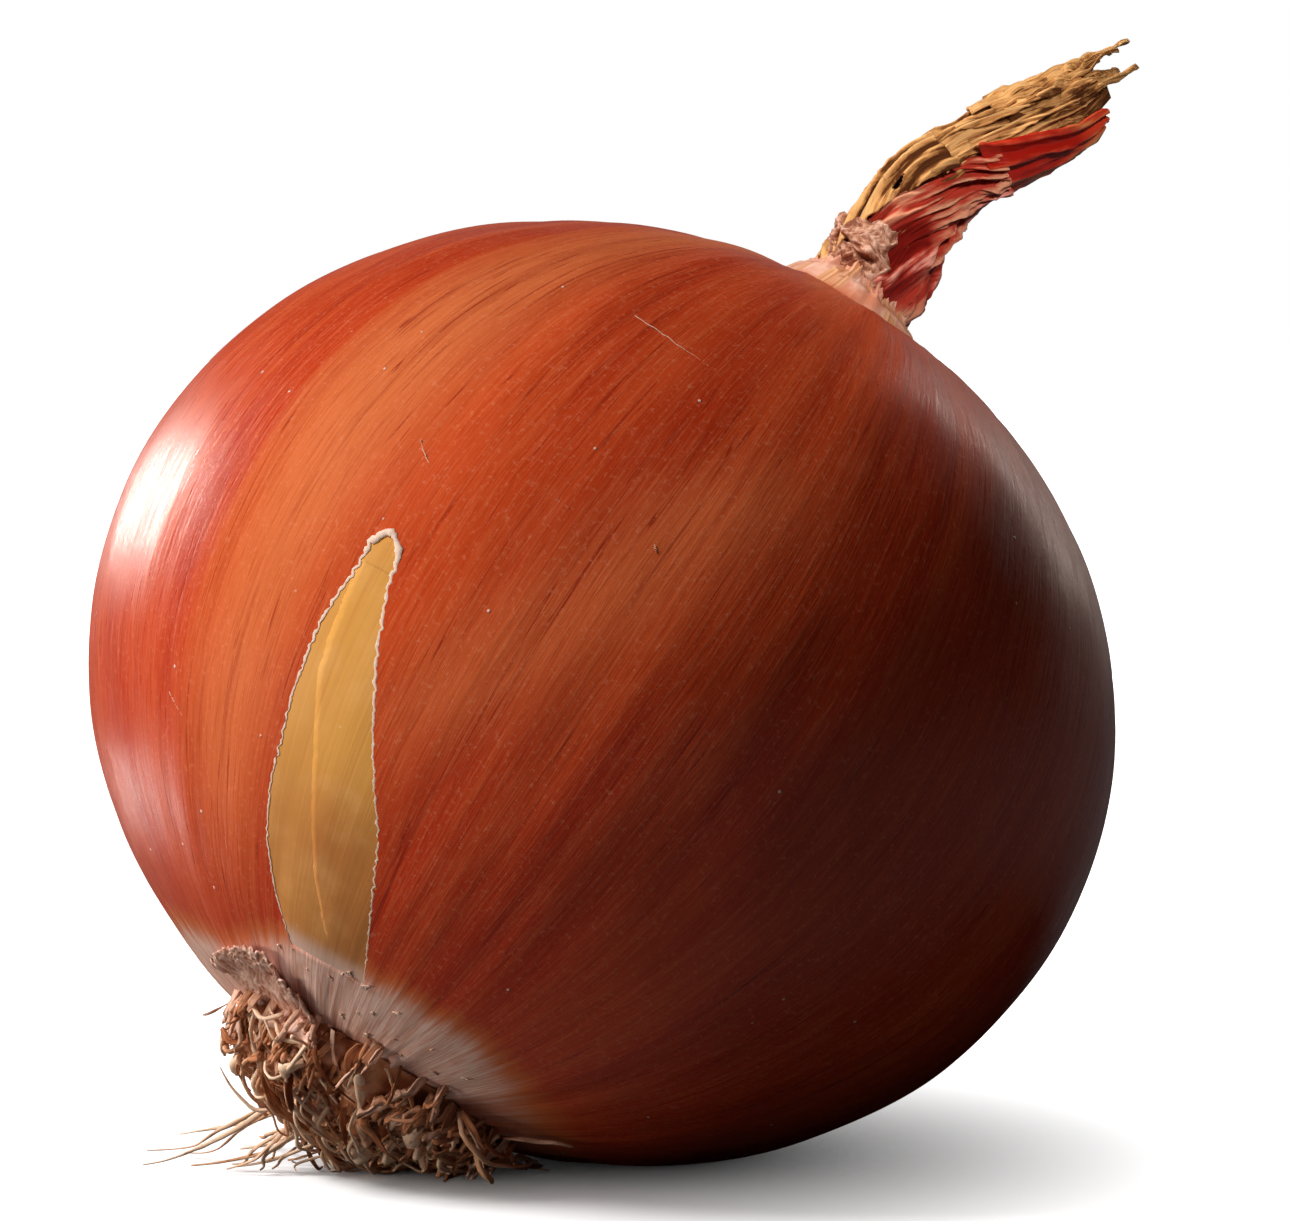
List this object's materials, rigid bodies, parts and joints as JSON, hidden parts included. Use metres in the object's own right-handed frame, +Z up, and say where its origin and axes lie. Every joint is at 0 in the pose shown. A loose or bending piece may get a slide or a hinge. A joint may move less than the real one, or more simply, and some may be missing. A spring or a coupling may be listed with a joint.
{
  "type": "onion",
  "caption": "Whole brown onion leaning on its side, with torn copper skin over a golden scale, a dry twisted neck and a tuft of dead roots.",
  "frame": {"origin": "middle of the small flat spot on the skin that the onion rests on", "axes": "+Z up, +X level from the root end towards the neck, +Y away from the viewer"},
  "size_m": [0.078, 0.0749, 0.0828],
  "materials": {
    "copper_skin": "papery plant skin with a waxy sheen, copper orange with darker streaks from root to neck",
    "golden_scale": "smooth golden inner skin, faintly veined",
    "roots": "dry brown root fibres, matt",
    "dead_scale": "dead pinkish-brown scale, rough and netted",
    "straw": "dried straw-coloured leaf bases, fibrous and grooved",
    "crimson_leaf": "wrinkled crimson papery leaf, partly glossy"
  },
  "bodies": {
    "root": {"outer_skin": "copper_skin", "bulb": "golden_scale", "root_tuft": "roots", "scale_remnant": "dead_scale", "straw_neck": "straw", "red_neck_leaf": "crimson_leaf"}
  },
  "joints": []
}
